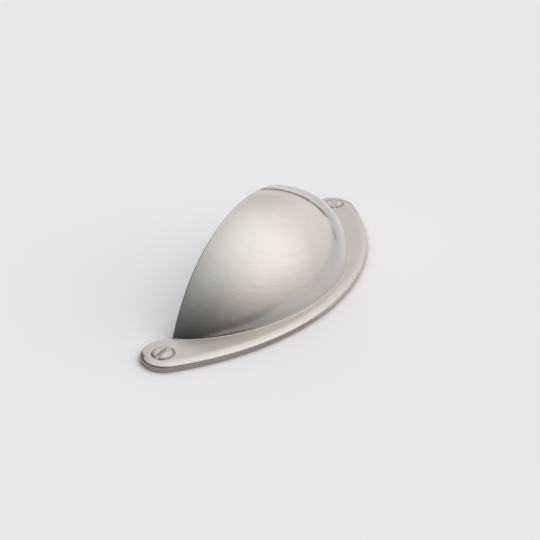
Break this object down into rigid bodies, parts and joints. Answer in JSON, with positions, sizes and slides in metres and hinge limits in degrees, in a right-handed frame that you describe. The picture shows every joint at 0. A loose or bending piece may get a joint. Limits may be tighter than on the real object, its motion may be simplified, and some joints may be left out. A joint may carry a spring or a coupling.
{
  "type": "cup pull",
  "caption": "Hooded cup pull for a drawer front: a hollow turned hood on a crescent plate with round ears and dummy slotted heads, screwed on from behind.",
  "frame": {"origin": "middle of the line between the two tapped fixing holes, on the flat back face that lies against the drawer front", "axes": "+X along the length of the pull, +Y away from the mouth toward the closed side of the hood (up on a hung drawer), +Z out of the drawer front"},
  "size_m": [0.1024, 0.0309, 0.0227],
  "materials": {
    "satin_nickel": "satin nickel plate, lightly brushed along the length under clear lacquer"
  },
  "bodies": {
    "root": {"cup_pull": "satin_nickel"}
  },
  "joints": []
}
